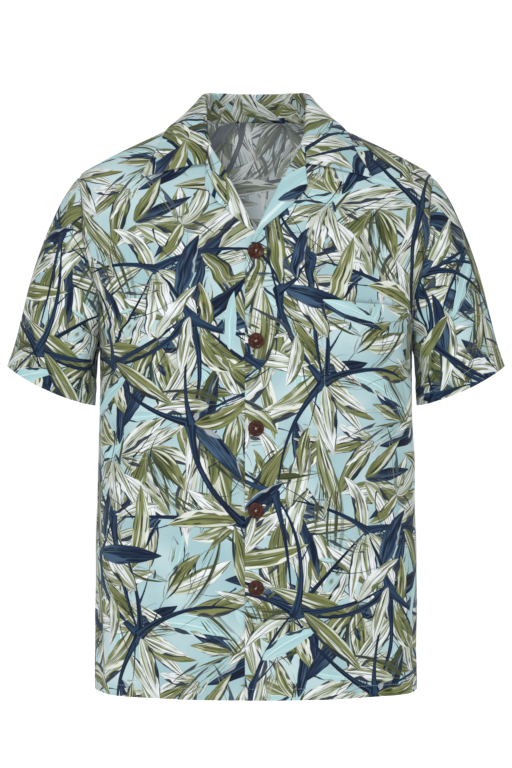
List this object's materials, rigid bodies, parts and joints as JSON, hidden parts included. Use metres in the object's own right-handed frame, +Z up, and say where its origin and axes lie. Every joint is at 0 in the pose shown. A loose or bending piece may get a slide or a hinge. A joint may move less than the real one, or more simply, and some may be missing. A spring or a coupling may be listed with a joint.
{
  "type": "hawaiian shirt",
  "caption": "Short-sleeved aloha shirt with an open camp collar, buttoned front, chest pocket and leafy print, filled out hollow as worn.",
  "frame": {"origin": "middle of the neck, level with where a wearer's neck and shoulders carry the shirt", "axes": "+Z up along the wearer, front facing -Y, wearer's left at +X"},
  "size_m": [0.611, 0.2819, 0.7367],
  "materials": {
    "printed_cloth": "matt, slightly silky plain weave",
    "dark_button": "semi-gloss, mottled dark brown"
  },
  "bodies": {
    "root": {"left_front": "printed_cloth", "right_front": "printed_cloth", "back": "printed_cloth", "left_sleeve": "printed_cloth", "right_sleeve": "printed_cloth", "collar": "printed_cloth", "left_lapel": "printed_cloth", "right_lapel": "printed_cloth", "pocket": "printed_cloth", "button_1": "dark_button", "button_2": "dark_button", "button_3": "dark_button", "button_4": "dark_button", "button_5": "dark_button"}
  },
  "joints": []
}
